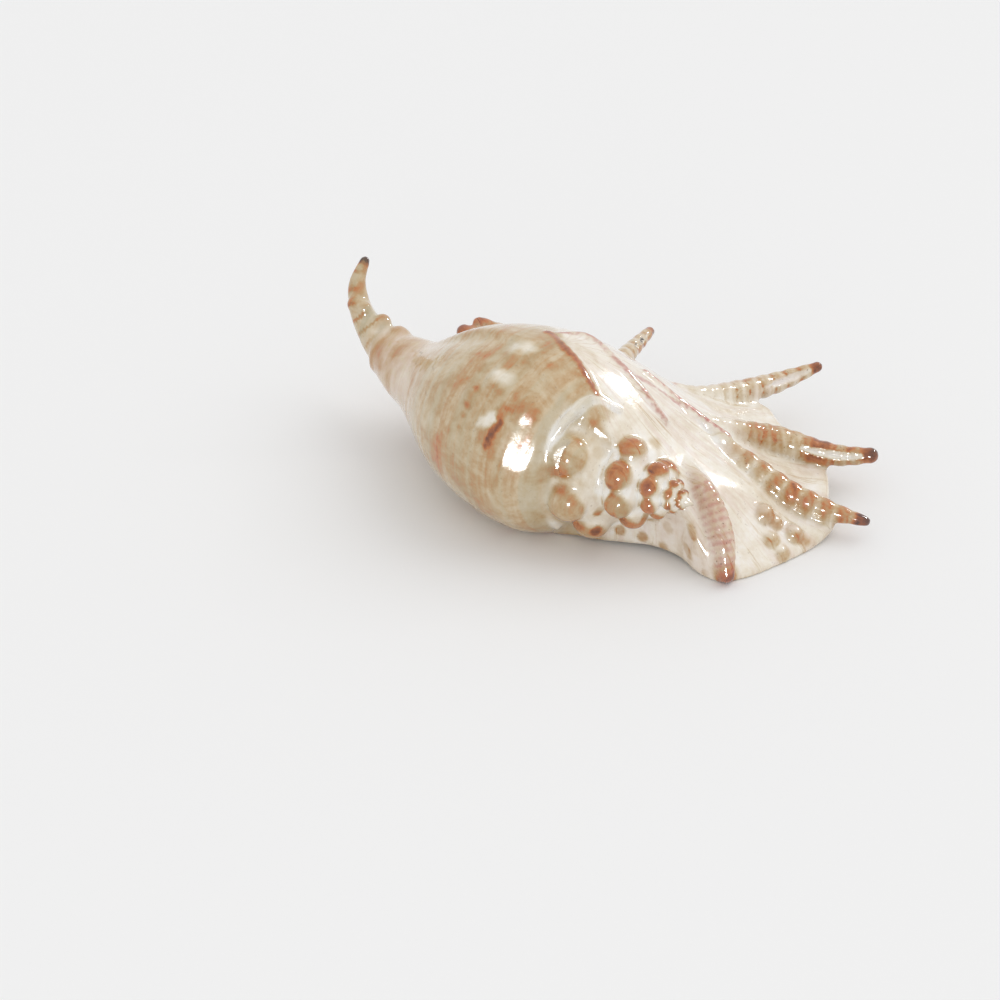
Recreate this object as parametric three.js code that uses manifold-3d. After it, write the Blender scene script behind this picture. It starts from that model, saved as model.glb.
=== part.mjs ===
// A spider conch shell lying on its mouth, in millimetres.
// +X runs along the axis of coiling, from the siphonal canal to the apex, +Y out to the
// fingers of the flared lip, and +Z up through the back of the shell.
// The shell grew as one piece, so everything here is joined into one solid: the last whorl
// and its canal, the spire and its knobs, the lip with its fingers, and the mouth below.
import * as THREE from "three";
import { mergeVertices } from "three/addons/utils/BufferGeometryUtils.js";
import Module from "manifold-3d";

const wasm = await Module();
wasm.setup();

// ---- driving dimensions -------------------------------------------------------------

// The line that the whorls coil round: [x, y, z].
const AXIS = [
  [-160, 4, 46],
  [-121, 0, 41],
  [-94, -4, 40],
  [-62, -8, 41.5],
  [-27, -8.5, 42],
  [0, -8.5, 40.5],
  [25, -7, 38],
  [50, -4, 39],
  [81, -0.5, 40.5],
];
// The last whorl's outline along the axis: [x, radius].
const LAST_WHORL = [
  [-122, 10.5],
  [-116, 13.5],
  [-105, 16.8],
  [-92, 20.8],
  [-78, 27.5],
  [-64, 35],
  [-48, 41.5],
  [-30, 46],
  [-10, 47],
  [3, 44.5],
  [13, 38],
  [22, 28],
];
const BACK_SWELL = 0.05; // share by which the back stands out, and the belly draws in

// The spire is an equiangular spiral: each turn is this much larger than the one before.
const GROWTH_PER_TURN = 1.66;
const APEX_X = 81;
const SPIRE_REACH = 80; // from the apex to a whorl's middle, at turn 0
const SPIRE_RADIUS = 43.5; // a whorl's outer radius, at turn 0
const SPIRE_TURNS = 3;
const WHORL_HALF_WIDTH = 0.42; // a whorl's oval section, as shares of its outer radius
const WHORL_MIDDLE = 0.58;
const WHORL_HALF_DEPTH = 0.36;
const CORE_RADIUS = 0.42; // the cone inside the whorls, per millimetre back from the apex
const CORE_RINGS = [0, 20, 40, 60, 80];
const KNOB_STEP = 1 / 7; // turns from one knob to the next
const FIRST_KNOB_TURN = -0.49;
const KNOB_LIFT = 0.82; // a knob's middle, as a share of its whorl's radius
const KNOB_SHARES = [[9, 0.46], [13, 0.5], [20, 0.4], [34, 0.35]]; // [whorl radius, share]
const SMALLEST_KNOB_WHORL = 11; // whorls finer than this radius carry no knobs here

// The lip: heights of its upper and lower faces over the plan, and the plan's outline.
const LIP_TOP = [
  [-95, 10, 53], [-60, 8, 81], [-25, 19, 88], [0, 25, 84], [27, 29, 68], [45, 25, 54],
  [62, 19, 43], [79, 16, 31], [95, 12, 11], [57, 33, 43], [78, 42, 30], [41, 53, 47],
  [50, 70, 34], [15, 77, 42], [18, 97, 31], [70, 55, 28], [90, 45, 20], [95, 70, 14],
  [80, 85, 16], [60, 95, 20], [35, 100, 27], [-10, 55, 64], [-12, 73, 47], [-35, 60, 60],
  [-20, 87, 33], [-48, 78, 42], [-70, 50, 50], [-90, 25, 50], [98, 4, 5], [106, 28, 5],
  [111, 48, 5], [114, 70, 9], [96, 94, 13], [53, 113, 20], [32, 119, 23], [-6, 98, 27],
  [-42, 86, 36], [-70, 68, 40], [-92, 45, 40],
];
const LIP_UNDERSIDE = [
  [95, 5, 0], [106, 28, 0], [111, 48, 0], [112, 70, 3], [95, 94, 8], [53, 113, 14],
  [32, 119, 16], [-6, 98, 17], [-42, 86, 25], [-70, 68, 29], [-92, 45, 32], [60, 10, 4],
  [55, 32, 2.5], [15, 36, 2.5], [-30, 33, 3], [20, 66, 0], [-15, 66, 1], [60, 60, 1],
  [-50, 50, 12], [-65, 24, 14], [-90, 12, 24], [20, -15, 2], [-40, -10, 4],
];
const LIP_OUTLINE = [
  [-104, 12], [-92, 42], [-72, 66], [-48, 82], [-22, 92], [6, 102], [22, 113], [34, 119],
  [50, 112], [66, 110], [84, 104], [95, 92], [103, 81], [113, 72], [114, 62], [112, 45],
  [109, 29], [104, 11], [96, 1.5], [84, -1], [70, 1.5], [56, -1], [44, -7], [30, -14], [10, -18],
  [-30, -8], [-80, -2],
];
const LIP_HUB = [5, 45]; // plan point that the lip's grid fans out from
const LIP_THINNEST = 5;

// The highest hump of the back, an oval dome: its middle and half sizes.
const CROWN = [-17, 8, 72];
const CROWN_HALF = [18, 13, 22.8];
// Low ridges on the back: middle line and radius.
const BACK_RIDGES = [
  [[-22, 9, 90, 2], [-7, 4, 89, 3], [7, 0, 84.5, 2.8], [20, -4, 75, 2.2]],
  [[-18, 12, 89.5, 2], [-12, 24, 86.5, 2.5], [12, 25, 78, 2.4], [40, 26, 59, 1.6]],
  [[15, 40, 70, 1.6], [35, 50, 53, 2.1], [55, 56, 41, 2.6]],
];

// Each finger's middle line and radius, from its root on the lip's back to its tip.
const FINGERS = [
  [[58, 21, 43, 1.5], [67, 18, 40.5, 4.2], [79, 14, 33.5, 5.7], [91, 9, 20, 5.8], [99, 3, 6.5, 3.8]],
  [[50, 54, 41, 2], [70, 59, 30, 5], [90, 63, 20.5, 6.2], [108, 70, 15, 5.2], [126, 79, 11.5, 2.6]],
  [[36, 48, 50, 2], [44, 65, 39, 4.5], [52, 80, 31, 6], [62, 94, 24, 7], [77, 103, 20, 6.3],
   [89, 110, 19, 5.3], [101, 117, 21, 4]],
  [[12, 70, 46, 2], [16, 86, 36.5, 4.5], [19, 102, 30.5, 6], [23, 116, 28, 6.2], [30, 138, 27, 5.2],
   [38.5, 156, 30.5, 2.8]],
  [[-8, 50, 60, 2.5], [-22, 65, 47, 4.5], [-33, 80, 39.5, 5.2], [-40, 99, 36, 4.4],
   [-46, 120, 34.5, 2.9]],
  [[-45, 38, 58, 3], [-62, 46, 51, 6], [-80, 49, 48, 5.5], [-92, 46, 49.5, 5], [-99, 43, 52.5, 3.5]],
];
// A short lobe of the lip beside the last finger.
const SIDE_LOBE = [[-87, 39, 47, 4], [-95, 37.5, 48, 4.6], [-103, 36, 48.5, 4.2]];
// The siphonal canal curls up from the whorl's narrow end: middle line and radius.
const CANAL = [
  [-104, -1, 41, 15.8], [-122, 0.5, 43.5, 11.4], [-135, 1, 50.5, 8.2], [-146, 3, 60, 6.1],
  [-153, 8, 70, 4.6], [-156, 17, 79, 2.6],
];

// The mouth: a slit in the underside, and the chamber that it opens into.
const SLIT = [ // [x, y, z, half width, half height]
  [-104, 6, 22, 2.5, 20], [-75, 11, 14, 5.5, 22], [-30, 17, 10, 7.5, 24], [15, 21, 8, 8, 24],
  [50, 22, 7, 6, 18], [74, 19, 4, 3, 10],
];
const CHAMBER = [
  [-80, 14, 36, 5], [-45, 19, 38, 10], [-10, 24, 38, 13], [20, 26, 36, 12], [45, 26, 30, 8],
];

const FLOOR = 1; // the belly and the lip's front edge are worn flat at this height
const FACET_ALLOWANCE = 0.35; // added to round sections: flat facets cut inside the curve
const ORIGIN = [-15, 51.5]; // plan point under the middle of the finished shell

// ---- shared geometry ----------------------------------------------------------------

// A smooth function through [x, value] rows.
function smoothTable(rows) {
  const slope = rows.map((row, i) => {
    const before = rows[Math.max(i - 1, 0)];
    const after = rows[Math.min(i + 1, rows.length - 1)];
    return (after[1] - before[1]) / (after[0] - before[0]);
  });
  return (x) => {
    const last = rows.length - 1;
    const clamped = Math.min(Math.max(x, rows[0][0]), rows[last][0]);
    let i = 0;
    while (i < last - 1 && rows[i + 1][0] < clamped) i += 1;
    const step = rows[i + 1][0] - rows[i][0];
    const t = (clamped - rows[i][0]) / step;
    return (
      (2 * t ** 3 - 3 * t ** 2 + 1) * rows[i][1] +
      (t ** 3 - 2 * t ** 2 + t) * step * slope[i] +
      (3 * t ** 2 - 2 * t ** 3) * rows[i + 1][1] +
      (t ** 3 - t ** 2) * step * slope[i + 1]
    );
  };
}

// A closed skin over rings of the same number of points, each end closed by a fan.
function loft(rings) {
  const sides = rings[0].length;
  const points = rings.flat();
  const middle = (ring) =>
    ring.reduce((sum, p) => sum.add(p), new THREE.Vector3()).divideScalar(sides);
  const index = [];
  for (let i = 0; i < rings.length - 1; i += 1)
    for (let j = 0; j < sides; j += 1) {
      const a = i * sides + j;
      const b = i * sides + ((j + 1) % sides);
      index.push(a, b, b + sides, a, b + sides, a + sides);
    }
  const first = points.push(middle(rings[0])) - 1;
  const last = points.push(middle(rings[rings.length - 1])) - 1;
  const lastRing = (rings.length - 1) * sides;
  for (let j = 0; j < sides; j += 1) {
    const k = (j + 1) % sides;
    index.push(first, k, j, last, lastRing + j, lastRing + k);
  }
  return new THREE.BufferGeometry().setFromPoints(points).setIndex(index);
}

// A geometry as a manifold-3d solid, turned right side out if its rings ran the other way.
function solid(geometry) {
  const bare = geometry.clone();
  bare.deleteAttribute("normal");
  bare.deleteAttribute("uv");
  const merged = mergeVertices(bare, 1e-4);
  const triVerts = new Uint32Array(merged.index.array);
  const vertProperties = merged.attributes.position.array;
  const make = () => new wasm.Manifold(new wasm.Mesh({ numProp: 3, vertProperties, triVerts }));
  const made = make();
  if (made.volume() > 0) return made;
  for (let i = 0; i < triVerts.length; i += 3)
    [triVerts[i + 1], triVerts[i + 2]] = [triVerts[i + 2], triVerts[i + 1]];
  return make();
}

// A round, tapering rod along [x, y, z, radius] rows, with a domed tip.
function taperedRod(rows, sides, steps) {
  const path = new THREE.CatmullRomCurve3(rows.map((row) => new THREE.Vector3(...row)));
  const radius = smoothTable(rows.map((row, i) => [i / (rows.length - 1), row[3]]));
  const { normals, binormals, tangents } = path.computeFrenetFrames(steps);
  const ring = (centre, i, r) =>
    Array.from({ length: sides }, (_, j) => {
      const angle = (2 * Math.PI * j) / sides;
      return centre
        .clone()
        .addScaledVector(normals[i], r * Math.cos(angle))
        .addScaledVector(binormals[i], r * Math.sin(angle));
    });
  const rings = [];
  for (let i = 0; i <= steps; i += 1) {
    const along = path.getUtoTmapping(i / steps);
    rings.push(ring(path.getPoint(along), i, radius(along) + FACET_ALLOWANCE));
  }
  const tip = path.getPointAt(1);
  const tipRadius = radius(1) + FACET_ALLOWANCE;
  for (const angle of [Math.PI / 5, Math.PI / 2.7]) {
    const centre = tip.clone().addScaledVector(tangents[steps], tipRadius * Math.sin(angle));
    rings.push(ring(centre, steps, tipRadius * Math.cos(angle)));
  }
  return solid(loft(rings));
}

const axisY = smoothTable(AXIS.map(([x, y]) => [x, y]));
const axisZ = smoothTable(AXIS.map(([x, , z]) => [x, z]));

// A point at a radius from the axis; turn 0 is below it, 0.25 on the -Y side, 0.5 above.
function around(x, radius, turn) {
  const angle = 2 * Math.PI * turn;
  return new THREE.Vector3(
    x,
    axisY(x) - radius * Math.sin(angle),
    axisZ(x) - radius * Math.cos(angle),
  );
}

// ---- the last whorl -----------------------------------------------------------------

function lastWhorl() {
  const sides = 30;
  const steps = 24;
  const radius = smoothTable(LAST_WHORL);
  const start = LAST_WHORL[0][0];
  const length = LAST_WHORL[LAST_WHORL.length - 1][0] - start;
  const rings = [];
  for (let i = 0; i <= steps; i += 1) {
    const x = start + (length * i) / steps;
    const ring = [];
    for (let j = 0; j < sides; j += 1) {
      const swell = 1 - BACK_SWELL * Math.cos((2 * Math.PI * j) / sides);
      ring.push(around(x, radius(x) * swell + FACET_ALLOWANCE, j / sides));
    }
    rings.push(ring);
  }
  return solid(loft(rings));
}

// ---- the spire ----------------------------------------------------------------------

// The whorl's oval section at a turn of the spiral.
function whorlSection(turn, sides) {
  const growth = GROWTH_PER_TURN ** turn;
  const radius = SPIRE_RADIUS * growth;
  const middle = APEX_X - SPIRE_REACH * growth;
  return Array.from({ length: sides }, (_, j) => {
    const angle = (2 * Math.PI * j) / sides;
    const x = middle + WHORL_HALF_WIDTH * radius * Math.cos(angle);
    return around(x, radius * (WHORL_MIDDLE + WHORL_HALF_DEPTH * Math.sin(angle)), turn);
  });
}

// Half a turn at a time, because a longer piece would run into its own next turn.
function spire() {
  const sides = 10;
  const stepsPerHalf = 9;
  const halves = [];
  for (let start = -SPIRE_TURNS; start < 0; start += 0.5) {
    const rings = [];
    for (let i = 0; i <= stepsPerHalf; i += 1)
      rings.push(whorlSection(start + (0.5 * i) / stepsPerHalf, sides));
    halves.push(solid(loft(rings)));
  }
  const coreSides = 10;
  const coreRing = (x) =>
    Array.from({ length: coreSides }, (_, j) =>
      around(x, CORE_RADIUS * (APEX_X - x), j / coreSides),
    );
  const core = solid(loft(CORE_RINGS.map(coreRing)));
  return halves.reduce((joined, half) => joined.add(half), core);
}

function knobs() {
  const share = smoothTable(KNOB_SHARES);
  const made = [];
  for (let turn = FIRST_KNOB_TURN; ; turn -= KNOB_STEP) {
    const growth = GROWTH_PER_TURN ** turn;
    const radius = SPIRE_RADIUS * growth;
    if (radius < SMALLEST_KNOB_WHORL) return made;
    const place = around(APEX_X - SPIRE_REACH * growth, KNOB_LIFT * radius, turn);
    const knob = new THREE.SphereGeometry(share(radius) * radius, 10, 7);
    made.push(solid(knob.translate(place.x, place.y, place.z)));
  }
}

function crown() {
  const dome = new THREE.SphereGeometry(1, 12, 10);
  return solid(dome.scale(...CROWN_HALF).translate(...CROWN));
}

// ---- the flared lip -----------------------------------------------------------------

// Gaussian elimination with pivoting, for the bending weights of a thin sheet.
function solveLinear(rows) {
  const size = rows.length;
  for (let i = 0; i < size; i += 1) {
    let pivot = i;
    for (let j = i + 1; j < size; j += 1)
      if (Math.abs(rows[j][i]) > Math.abs(rows[pivot][i])) pivot = j;
    [rows[i], rows[pivot]] = [rows[pivot], rows[i]];
    for (let j = i + 1; j < size; j += 1) {
      const share = rows[j][i] / rows[i][i];
      for (let k = i; k <= size; k += 1) rows[j][k] -= share * rows[i][k];
    }
  }
  const answer = new Array(size).fill(0);
  for (let i = size - 1; i >= 0; i -= 1) {
    let rest = rows[i][size];
    for (let k = i + 1; k < size; k += 1) rest -= rows[i][k] * answer[k];
    answer[i] = rest / rows[i][i];
  }
  return answer;
}

// The height of a thin sheet that bends smoothly through [x, y, z] points.
function bentSheet(points, slack) {
  const scale = 100;
  const kernel = (ax, ay, bx, by) => {
    const d = ((ax - bx) ** 2 + (ay - by) ** 2) / scale ** 2;
    return d > 1e-12 ? d * Math.log(d) : 0;
  };
  const plane = points.map(([x, y]) => [1, x / scale, y / scale]);
  const rows = points.map(([x, y, z], i) => [
    ...points.map(([px, py], j) => kernel(x, y, px, py) + (i === j ? slack : 0)),
    ...plane[i],
    z,
  ]);
  for (let k = 0; k < 3; k += 1) rows.push([...plane.map((p) => p[k]), 0, 0, 0, 0]);
  const weight = solveLinear(rows);
  const n = points.length;
  return (x, y) =>
    points.reduce(
      (sum, [px, py], i) => sum + weight[i] * kernel(x, y, px, py),
      weight[n] + (weight[n + 1] * x) / scale + (weight[n + 2] * y) / scale,
    );
}

function flaredLip() {
  const sides = 56;
  const rows = 7;
  const edge = new THREE.CatmullRomCurve3(
    LIP_OUTLINE.map(([x, y]) => new THREE.Vector3(x, y, 0)),
    true,
  ).getSpacedPoints(sides);
  const top = bentSheet(LIP_TOP, 0.0005);
  const under = bentSheet(LIP_UNDERSIDE, 0.002);
  const faces = [
    (x, y) => Math.min(under(x, y), top(x, y) - LIP_THINNEST),
    top,
  ];
  const ring = (share, height) =>
    edge.slice(0, sides).map((p) => {
      const x = LIP_HUB[0] + share * (p.x - LIP_HUB[0]);
      const y = LIP_HUB[1] + share * (p.y - LIP_HUB[1]);
      return new THREE.Vector3(x, y, height(x, y));
    });
  const shares = Array.from({ length: rows }, (_, i) => (i + 1) / rows);
  const rings = [
    ...shares.map((share) => ring(share, faces[0])),
    ...shares.reverse().map((share) => ring(share, faces[1])),
  ];
  return solid(loft(rings));
}

// ---- the mouth ----------------------------------------------------------------------

function slit() {
  const sides = 12;
  return solid(
    loft(
      SLIT.map(([x, y, z, halfWidth, halfHeight]) =>
        Array.from({ length: sides }, (_, j) => {
          const angle = (2 * Math.PI * j) / sides;
          return new THREE.Vector3(
            x,
            y + halfWidth * Math.sin(angle),
            z - halfHeight * Math.cos(angle),
          );
        }),
      ),
    ),
  );
}

// ---- the whole shell ----------------------------------------------------------------

function belowFloor() {
  const size = 400;
  return solid(new THREE.BoxGeometry(size, size, size).translate(0, 0, FLOOR - size / 2));
}

function shellGeometry() {
  const grown = [
    lastWhorl(),
    flaredLip(),
    ...knobs(),
    crown(),
    ...BACK_RIDGES.map((rows) => taperedRod(rows, 8, 8)),
    ...FINGERS.map((rows) => taperedRod(rows, 9, 9)),
    taperedRod(SIDE_LOBE, 9, 4),
    taperedRod(CANAL, 10, 10),
  ].reduce((joined, piece) => joined.add(piece), spire());
  const opened = grown
    .subtract(taperedRod(CHAMBER, 12, 9))
    .subtract(slit())
    .subtract(belowFloor());
  const { vertProperties, triVerts } = opened.getMesh();
  return new THREE.BufferGeometry()
    .setAttribute("position", new THREE.BufferAttribute(vertProperties, 3))
    .setIndex(new THREE.BufferAttribute(triVerts, 1));
}

const glazedShell = new THREE.MeshStandardMaterial({
  color: 0xcdbb9c,
  roughness: 0.12,
  metalness: 0,
});

const shell = new THREE.Mesh(shellGeometry(), glazedShell);
shell.name = "shell";
shell.position.set(-ORIGIN[0], -ORIGIN[1], -FLOOR);

const spiderConch = new THREE.Group();
spiderConch.add(shell);
export default spiderConch;
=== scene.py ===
"""A spider conch shell lying on its mouth: one grown solid under a deep, pooled glaze.

The shell is built up as one body of clay, in millimetres, then skinned, given its fine
relief and glazed. +X runs to the apex, +Y out to the fingers, +Z up through the back.
"""
import math

import bpy
import numpy as np
from mathutils import Matrix, Vector


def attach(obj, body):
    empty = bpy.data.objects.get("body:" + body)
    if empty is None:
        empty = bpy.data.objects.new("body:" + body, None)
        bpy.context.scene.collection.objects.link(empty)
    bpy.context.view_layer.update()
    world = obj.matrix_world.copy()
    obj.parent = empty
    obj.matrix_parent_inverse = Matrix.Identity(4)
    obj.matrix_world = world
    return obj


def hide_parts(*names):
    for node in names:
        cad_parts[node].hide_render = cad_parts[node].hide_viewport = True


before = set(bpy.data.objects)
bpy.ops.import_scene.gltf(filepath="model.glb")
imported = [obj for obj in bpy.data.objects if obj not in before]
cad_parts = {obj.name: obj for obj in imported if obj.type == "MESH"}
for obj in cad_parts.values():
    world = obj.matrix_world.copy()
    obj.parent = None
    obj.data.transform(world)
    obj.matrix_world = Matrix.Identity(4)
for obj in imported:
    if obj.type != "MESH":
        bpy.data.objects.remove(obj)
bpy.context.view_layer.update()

# ---- The clay -----------------------------------------------------------------------
# The shell is one body, so it is modelled as one lump of clay: every growth of it is
# pressed on and smoothed in, or carved out. The clay is a grid of points, each holding
# its distance from the surface, negative inside.

GRAIN = 1.2  # from one grid point to the next
CLAY_LOW = np.array([-164.0, -56.0, -3.0])
CLAY_HIGH = np.array([134.0, 168.0, 100.0])
FAR = 60.0

clay_axes = [
    np.arange(low, high + GRAIN, GRAIN) for low, high in zip(CLAY_LOW, CLAY_HIGH)
]
clay = np.full([len(axis) for axis in clay_axes], FAR, np.float32)


def join(a, b, blend):
    """The nearer of two surfaces, with the crease between them filled to a soft fillet."""
    share = np.clip(0.5 + 0.5 * (b - a) / blend, 0, 1)
    return b + (a - b) * share - blend * share * (1 - share)


def meet(a, b, blend):
    """What lies inside both surfaces, with the edge between them rounded over."""
    return -join(-a, -b, blend)


def work(shape, low, high, blend, carve=False):
    """Presses a shape onto the clay inside the box from low to high, or carves it out."""
    reach = blend + 3
    cut = []
    for axis, a, b in zip(clay_axes, low, high):
        first, last = np.searchsorted(axis, [a - reach, b + reach])
        cut.append(slice(max(first - 1, 0), min(last + 1, len(axis))))
    x, y, z = (axis[part] for axis, part in zip(clay_axes, cut))
    gap = shape(x[:, None, None], y[None, :, None], z[None, None, :])
    cut = tuple(cut)
    clay[cut] = meet(clay[cut], -gap, blend) if carve else join(clay[cut], gap, blend)


def smooth_table(rows):
    """A smooth function through [x, value] rows, flat beyond the ends."""
    xs, values = np.array(rows, float).T
    slopes = np.gradient(values, xs)

    def look_up(x):
        x = np.clip(x, xs[0], xs[-1])
        i = np.clip(np.searchsorted(xs, x) - 1, 0, len(xs) - 2)
        step = xs[i + 1] - xs[i]
        t = (x - xs[i]) / step
        return (
            (2 * t**3 - 3 * t**2 + 1) * values[i]
            + (t**3 - 2 * t**2 + t) * step * slopes[i]
            + (3 * t**2 - 2 * t**3) * values[i + 1]
            + (t**3 - t**2) * step * slopes[i + 1]
        )

    return look_up


# ---- The last whorl -----------------------------------------------------------------
# The big outer turn of the shell: a swelling tube round the axis of coiling, fattest
# near its shoulder and drawn out to the narrow siphonal end.

AXIS = [  # the line that the whorls coil round: [x, y, z]
    [-160, 4, 46],
    [-121, 0, 41],
    [-94, -4, 40],
    [-62, -8, 41.5],
    [-27, -8.5, 42],
    [0, -8.5, 40.5],
    [25, -7, 38],
    [50, -4, 39],
    [81, -0.5, 40.5],
]
LAST_WHORL = [  # outline along the axis: [x, radius]
    [-122, 10.5],
    [-116, 13.5],
    [-105, 16.8],
    [-92, 20.8],
    [-78, 27.5],
    [-64, 35],
    [-48, 41.5],
    [-30, 46],
    [-10, 47],
    [3, 44.5],
    [13, 38],
    [22, 28],
]
BACK_SWELL = 0.05  # share by which the back stands out, and the belly draws in

axis_y = smooth_table([[x, y] for x, y, z in AXIS])
axis_z = smooth_table([[x, z] for x, y, z in AXIS])
whorl_radius = smooth_table(LAST_WHORL)


def turn_and_radius(x, y, z):
    """Where a point lies round the axis: turn 0 below, 0.25 at -Y, 0.5 above."""
    out_y, out_z = y - axis_y(x), z - axis_z(x)
    turn = np.mod(np.arctan2(-out_y, -out_z) / (2 * math.pi), 1)
    return turn, np.sqrt(out_y**2 + out_z**2)


def around(x, radius, turn):
    """The point at a radius from the axis, at a turn round it."""
    angle = 2 * math.pi * turn
    y = axis_y(x) - radius * np.sin(angle)
    z = axis_z(x) - radius * np.cos(angle)
    return np.stack(np.broadcast_arrays(x, y, z), -1)


def last_whorl(x, y, z):
    turn, radius = turn_and_radius(x, y, z)
    skin = whorl_radius(x) * (1 - BACK_SWELL * np.cos(2 * math.pi * turn))
    slope = whorl_radius(x + 1) - whorl_radius(x - 1)
    return (radius - skin) / np.sqrt(1 + (slope / 2) ** 2)


work(last_whorl, (-122, -56, -3), (22, 60, 100), 1)

# ---- The flared lip -----------------------------------------------------------------
# The outer lip spreads from the back of the last whorl like a bent sheet, and curves
# down to the surface at its front edge. Its upper and lower faces are thin sheets bent
# through a few heights, inside the outline that the fingers spring from.

LIP_TOP = [
    [-95, 10, 53], [-60, 8, 81], [-25, 19, 88], [0, 25, 84], [27, 29, 68], [45, 25, 54],
    [62, 19, 43], [79, 16, 31], [95, 12, 11], [57, 33, 43], [78, 42, 30], [41, 53, 47],
    [50, 70, 34], [15, 77, 42], [18, 97, 31], [70, 55, 28], [90, 45, 20], [95, 70, 14],
    [80, 85, 16], [60, 95, 20], [35, 100, 27], [-10, 55, 64], [-12, 73, 47], [-35, 60, 60],
    [-20, 87, 33], [-48, 78, 42], [-70, 50, 50], [-90, 25, 50], [98, 4, 5], [106, 28, 5],
    [111, 48, 5], [114, 70, 9], [96, 94, 13], [53, 113, 20], [32, 119, 23], [-6, 98, 27],
    [-42, 86, 36], [-70, 68, 40], [-92, 45, 40],
]
LIP_UNDERSIDE = [
    [95, 5, 0], [106, 28, 0], [111, 48, 0], [112, 70, 3], [95, 94, 8], [53, 113, 14],
    [32, 119, 16], [-6, 98, 17], [-42, 86, 25], [-70, 68, 29], [-92, 45, 32], [60, 10, 4],
    [55, 32, 2.5], [15, 36, 2.5], [-30, 33, 3], [20, 66, 0], [-15, 66, 1], [60, 60, 1],
    [-50, 50, 12], [-65, 24, 14], [-90, 12, 24], [20, -15, 2], [-40, -10, 4],
]
LIP_OUTLINE = [
    [-104, 12], [-92, 42], [-72, 66], [-48, 82], [-22, 92], [6, 102], [22, 113], [34, 119],
    [50, 112], [66, 110], [84, 104], [95, 92], [103, 81], [113, 72], [114, 62], [112, 45],
    [109, 29], [104, 11], [96, 1.5], [84, -1], [70, 1.5], [56, -1], [44, -7], [30, -14], [10, -18],
    [-30, -8], [-80, -2],
]
LIP_THINNEST = 5.0
LIP_FILLET = 7.0  # where the lip leaves the whorl
SHEET_UNIT = 100.0


def bent_sheet(points, slack):
    """The height of a thin sheet that bends smoothly through [x, y, z] points."""
    points = np.array(points, float)
    plan, heights = points[:, :2] / SHEET_UNIT, points[:, 2]

    def kernel(square):
        return np.where(square > 1e-12, square * np.log(np.maximum(square, 1e-12)), 0)

    count = len(points)
    spans = ((plan[:, None] - plan[None]) ** 2).sum(-1)
    flat = np.c_[np.ones(count), plan]
    system = np.block([[kernel(spans) + slack * np.eye(count), flat], [flat.T, np.zeros((3, 3))]])
    weights = np.linalg.solve(system, np.r_[heights, 0, 0, 0])

    def height(x, y):
        x, y = x / SHEET_UNIT, y / SHEET_UNIT
        total = weights[count] + weights[count + 1] * x + weights[count + 2] * y
        for (px, py), weight in zip(plan, weights):
            total = total + weight * kernel((x - px) ** 2 + (y - py) ** 2)
        return total

    return height


def smooth_path(points, count):
    """Evenly spaced points on a smooth curve through the given ones, any columns carried."""
    points = np.array(points, float)
    steps = np.linalg.norm(np.diff(points[:, :3], axis=0), axis=1)
    reach = np.r_[0, np.cumsum(steps)]
    spots = np.linspace(0, reach[-1], count)
    return np.stack([smooth_table(np.c_[reach, column])(spots) for column in points.T], 1)


def outside_outline(outline, x, y):
    """Distance from a closed outline in plan, negative inside it."""
    square = np.full(np.broadcast(x, y).shape, 1e9)
    inside = np.zeros(square.shape, bool)
    for (ax, ay), (bx, by) in zip(outline, np.roll(outline, -1, axis=0)):
        run_x, run_y = bx - ax, by - ay
        share = ((x - ax) * run_x + (y - ay) * run_y) / (run_x**2 + run_y**2)
        share = np.clip(share, 0, 1)
        square = np.minimum(square, (x - ax - share * run_x) ** 2 + (y - ay - share * run_y) ** 2)
        if ay != by:
            crosses = ((ay <= y) != (by <= y)) & (x < ax + run_x * (y - ay) / run_y)
            inside ^= crosses
    return np.where(inside, -1, 1) * np.sqrt(square)


lip_top = bent_sheet(LIP_TOP, 0.0005)
lip_sag = bent_sheet(LIP_UNDERSIDE, 0.002)
lip_edge = smooth_path([[x, y, 0] for x, y in LIP_OUTLINE + LIP_OUTLINE[:1]], 160)[:-1, :2]


def lip_under(x, y):
    return np.minimum(lip_sag(x, y), lip_top(x, y) - LIP_THINNEST)


def lean(height, x, y):
    """How much nearer a sloping sheet is than its height says."""
    slope_x = height(x + 1, y) - height(x - 1, y)
    slope_y = height(x, y + 1) - height(x, y - 1)
    return 1 / np.sqrt(1 + np.minimum((slope_x**2 + slope_y**2) / 4, 9))


def flared_lip(x, y, z):
    above = (z - lip_top(x, y)) * lean(lip_top, x, y)
    below = (lip_under(x, y) - z) * lean(lip_under, x, y)
    return meet(meet(above, below, 3.0), outside_outline(lip_edge, x, y), 4.0)


work(flared_lip, (-110, -20, -3), (118, 126, 92), LIP_FILLET)

# ---- The spire ----------------------------------------------------------------------
# The older whorls step down to the apex as an equiangular spiral. Each has a row of
# blunt knobs on its shoulder, and a raised cord of shell seals the seam below it.

GROWTH_PER_TURN = 1.66
APEX_X = 81.0
SPIRE_REACH = 80.0  # from the apex to a whorl's middle, at turn 0
SPIRE_RADIUS = 43.5  # a whorl's outer radius, at turn 0
SPIRE_TURNS = 6
KNOB_STEP = 1 / 7  # turns from one knob to the next
FIRST_KNOB_TURN = -0.49
SMALLEST_KNOB_WHORL = 3.5
WHORL_HALF_WIDTH = 0.42  # along the axis, as a share of the whorl's outer radius
WHORL_HALF_DEPTH = 0.36  # outward
WHORL_MIDDLE = 0.58
CORE_SLOPE = 0.42  # the cone that fills the spire between its whorls
CORE_NEARER = 0.92  # how much nearer a sloping cone is than its radius says
KNOB_LIFT = 0.82
KNOB_SHARES = [[9, 0.46], [13, 0.50], [20, 0.40], [34, 0.35]]  # [whorl radius, knob radius over it]


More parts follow.
